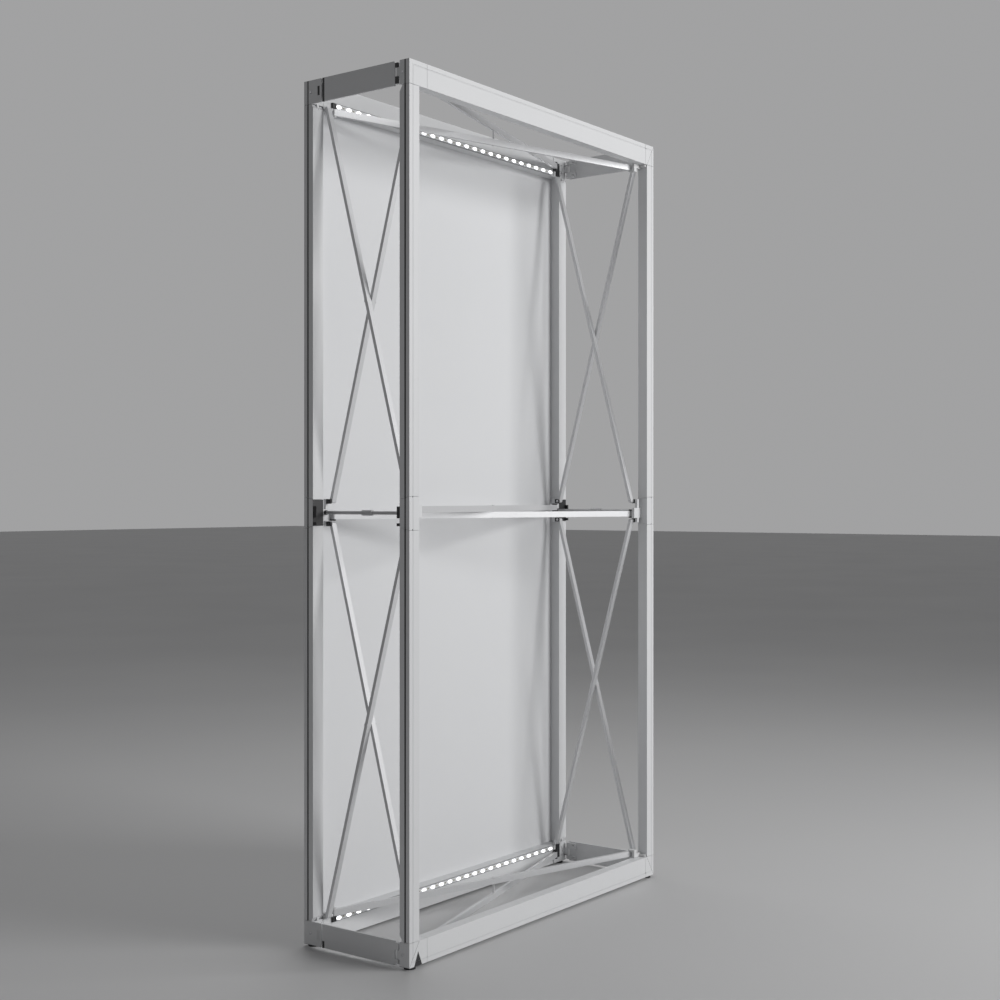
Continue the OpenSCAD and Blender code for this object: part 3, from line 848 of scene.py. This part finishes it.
@dataclass
class SmallBlocks:
    """Tabs in the latch windows of the free corners, and black cheeks behind the middle blocks."""

    tab_from_face: float = 45.5 * MM
    tab_from_edge: float = 27 * MM
    tab_sunk: float = 0.8 * MM
    tab_size: Triple = (2.4 * MM, 7.1 * MM, 21.7 * MM)
    cheek_t: float = 4 * MM
    cheek_sunk: float = 1 * MM
    cheek_l: float = 9.5 * MM
    cheek_spans: tuple[tuple[str, float, float], ...] = (
        ("high", -11 * MM, 15 * MM), ("low", -28.5 * MM, -22 * MM))
    edge: float = 0.3 * MM

    def block(
        self, name: str, body: str, centre: Triple, size: Triple, material: bpy.types.Material,
    ) -> None:
        """Adds a block with rounded edges and lets it ride."""
        piece = add_box(name, centre, size)
        round_edges(piece, self.edge)
        dress(piece, material)
        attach(piece, body)

    def tabs(self, black: bpy.types.Material) -> None:
        """Fills the latch windows, in black at the top and in white at the bottom."""
        white = PowderCoat(name="latch_coat", tone=0.68).build()
        top, bottom = TOP - self.tab_from_edge, FOOT + self.tab_from_edge
        for corner, turn, front in (("fr", 1, -1), ("rl", -1, 1)):
            x = turn * (HALF_W - self.tab_sunk - self.tab_size[0] / 2)
            y = front * (HALF_D - self.tab_from_face)
            for level, z, material in (("top", top, black), ("bottom", bottom, white)):
                self.block(
                    f"latch_tab_{corner}_{level}", f"corner_{corner}_{level}", (x, y, z),
                    self.tab_size, material)

    def cheeks(self, black: bpy.types.Material) -> None:
        """Adds an upper and a lower cheek behind each middle block, at its outer side."""
        for corner, turn, front in (("fl", -1, -1), ("fr", 1, -1), ("rl", -1, 1), ("rr", 1, 1)):
            x = turn * (HALF_W - self.cheek_sunk - self.cheek_t / 2)
            y = front * (HALF_D - RIM_D - self.cheek_l / 2)
            for level, low, high in self.cheek_spans:
                centre = (x, y, MID_Z + (low + high) / 2)
                size = (self.cheek_t, self.cheek_l, high - low)
                self.block(f"mid_cheek_{corner}_{level}", f"middle_{corner}", centre, size, black)

    def build(self) -> None:
        """Makes the tabs and the cheeks."""
        black = Moulded(name="latch_plastic").build()
        self.tabs(black)
        self.cheeks(black)


@dataclass
class Fasteners:
    """Rivet and screw heads at the pivots, one modelled and the rest copied."""

    radius: float = 3.6 * MM
    rise: float = 1.3 * MM
    sides: int = 24
    edge: float = 0.22 * MM
    shoulder: float = 0.42
    dome: float = 0.25
    rim: float = 0.12
    recess: float = 0.7
    screw_in: float = 20 * MM
    screw_v: float = 27 * MM

    def template(self) -> bpy.types.Object:
        """Models a low domed head with a round recess, standing along Z on the origin."""
        deselect()
        bpy.ops.mesh.primitive_cylinder_add(
            vertices=self.sides, radius=self.radius, depth=self.rise, location=(0, 0, self.rise / 2))
        head = bpy.context.object
        for face in head.data.polygons:
            face.select = face.normal.z > SAME_WAY
        bpy.ops.object.mode_set(mode="EDIT")
        bpy.ops.mesh.select_mode(type="FACE")
        bpy.ops.mesh.inset(thickness=self.radius * self.shoulder)
        bpy.ops.transform.translate(value=(0, 0, self.rise * self.dome))
        bpy.ops.mesh.inset(thickness=self.radius * self.rim)
        sink = (0, 0, -self.rise * self.recess)
        bpy.ops.mesh.extrude_region_move(TRANSFORM_OT_translate={"value": sink})
        bpy.ops.object.mode_set(mode="OBJECT")
        settle(head)
        round_edges(head, self.edge)
        bpy.ops.object.shade_smooth_by_angle(angle=math.radians(35))
        return head

    def spots(self) -> Iterable[tuple[str, str, Triple, Facing]]:
        """Yields a name, a body, a place and a facing for each head."""
        for side, turn in (("l", -1), ("r", 1)):
            inward, outward = (Facing.RIGHT, Facing.LEFT) if turn < 0 else (Facing.LEFT, Facing.RIGHT)
            for face, front in (("f", -1), ("r", 1)):
                y = front * (HALF_D - PIVOT_IN)
                at_corner, at_middle = OUTER_RIVET, INNER_RIVET
                if (side == "l") == (face == "f"):
                    at_corner, at_middle = at_middle, at_corner
                for level, z in (("top", TOP - PIVOT_V), ("bottom", FOOT + PIVOT_V)):
                    at = (turn * (HALF_W - at_corner), y, z)
                    yield f"rivet_{face}{side}_{level}", f"corner_{face}{side}_{level}", at, inward
                for name, z in (("upper", MID_Z + MID_PIVOT), ("lower", MID_Z - MID_PIVOT)):
                    at = (turn * (HALF_W - at_middle), y, z)
                    yield f"rivet_{face}{side}_mid_{name}", f"middle_{face}{side}", at, inward
            for level, z in (("top", TOP - self.screw_v), ("bottom", FOOT + self.screw_v)):
                for face, front in (("f", -1), ("r", 1)):
                    at = (turn * HALF_W, front * (HALF_D - self.screw_in), z)
                    yield f"screw_{face}{side}_{level}", f"corner_{face}{side}_{level}", at, outward

    def build(self) -> None:
        """Copies the head to every spot."""
        head = self.template()
        material = Zinc().build()
        count = 0
        for name, body, at, facing in self.spots():
            copy = head.copy()
            copy.data = head.data.copy()
            bpy.context.collection.objects.link(copy)
            copy.name = name
            copy.rotation_euler = Vector(facing.value).to_track_quat("Z", "Y").to_euler()
            copy.location = at
            settle(copy)
            dress(copy, material)
            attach(copy, body)
            count += 1
        bpy.data.objects.remove(head, do_unlink=True)
        LOG.info("%d heads placed", count)


@dataclass(frozen=True)
class SoftLamp:
    """A soft square lamp: its place, its width in metres and its power in watts."""

    name: str
    at: Triple
    size: float
    power: float

    def build(self, aim: Triple) -> None:
        """Adds the lamp, turned to look at a point."""
        data = bpy.data.lights.new(self.name, "AREA")
        data.size = self.size
        data.energy = self.power
        lamp = bpy.data.objects.new(self.name, data)
        lamp.location = self.at
        way = Vector(aim) - Vector(self.at)
        lamp.rotation_euler = way.to_track_quat("-Z", "Y").to_euler()
        bpy.context.collection.objects.link(lamp)


@dataclass
class Studio:
    """Pale floor, soft lamps and the camera."""

    floor_tone: float = 0.55
    floor_size: float = 80.0
    backdrop: float = 0.36
    surround: float = 0.14
    lamps: tuple[SoftLamp, ...] = (
        SoftLamp("front_soft", (1.6, -4.2, 2.4), 2.6, 165.0),
        SoftLamp("left_soft", (-4.6, 0.6, 2.4), 2.2, 4.0),
        SoftLamp("top_soft", (0.8, 1.0, 4.2), 2.0, 40.0))
    lamp_aim: Triple = (0.0, 0.0, 1.0)
    sensor: float = 36.0
    lens: float = 54.0
    eye: Triple = (-3.0316, -2.2795, 1.0323)
    look: Triple = (0.8018, 0.5975, 0.0)

    def floor(self) -> None:
        """Lays the floor."""
        deselect()
        bpy.ops.mesh.primitive_plane_add(size=self.floor_size, location=(0, 0, 0))
        floor = bpy.context.object
        floor.name = "studio_floor"
        graph = Graph("studio_floor")
        where, *_ = graph.place()
        cloud = graph.noise(where, 0.8, 2.0)
        colour = graph.mix(cloud, tint(self.floor_tone), tint(self.floor_tone * 0.96, 1.0, 1.01))
        dress(floor, graph.surface({"Base Color": colour, "Roughness": cloud * 0.1 + 0.4}))

    def world(self) -> None:
        """Sets a soft even surround, which the camera and mirrored rays see paler."""
        world = bpy.data.worlds.new("surround")
        bpy.context.scene.world = world
        world.use_nodes = True
        tree = world.node_tree
        back = tree.nodes["Background"]
        back.inputs[0].default_value = rgb(1.0, 1.0, 1.01)
        path = tree.nodes.new("ShaderNodeLightPath")
        seen = tree.nodes.new("ShaderNodeMath")
        seen.operation = "MAXIMUM"
        tree.links.new(path.outputs["Is Camera Ray"], seen.inputs[0])
        tree.links.new(path.outputs["Is Glossy Ray"], seen.inputs[1])
        level = tree.nodes.new("ShaderNodeMath")
        level.operation = "MULTIPLY_ADD"
        tree.links.new(seen.outputs[0], level.inputs[0])
        level.inputs[1].default_value = self.backdrop - self.surround
        level.inputs[2].default_value = self.surround
        tree.links.new(level.outputs[0], back.inputs[1])

    def camera(self) -> None:
        """Stands the camera where the photograph was taken from."""
        data = bpy.data.cameras.new("view")
        data.lens = self.lens
        data.sensor_width = self.sensor
        camera = bpy.data.objects.new("view", data)
        camera.location = self.eye
        camera.rotation_euler = Vector(self.look).to_track_quat("-Z", "Y").to_euler()
        bpy.context.collection.objects.link(camera)
        bpy.context.scene.camera = camera

    def build(self) -> None:
        """Builds the whole studio."""
        self.floor()
        self.world()
        for lamp in self.lamps:
            lamp.build(self.lamp_aim)
        self.camera()
        bpy.context.scene.view_settings.view_transform = "Standard"


def main() -> None:
    """Builds the dressed model around the frame."""
    logging.basicConfig(level=logging.INFO)
    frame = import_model()
    Studio().build()
    RimAndBars(frame).dress_all()
    LampRows(frame).build()
    RearFabric().build()
    GrooveInfill().build()
    SmallBlocks().build()
    Fasteners().build()


if __name__ == "__main__":
    main()
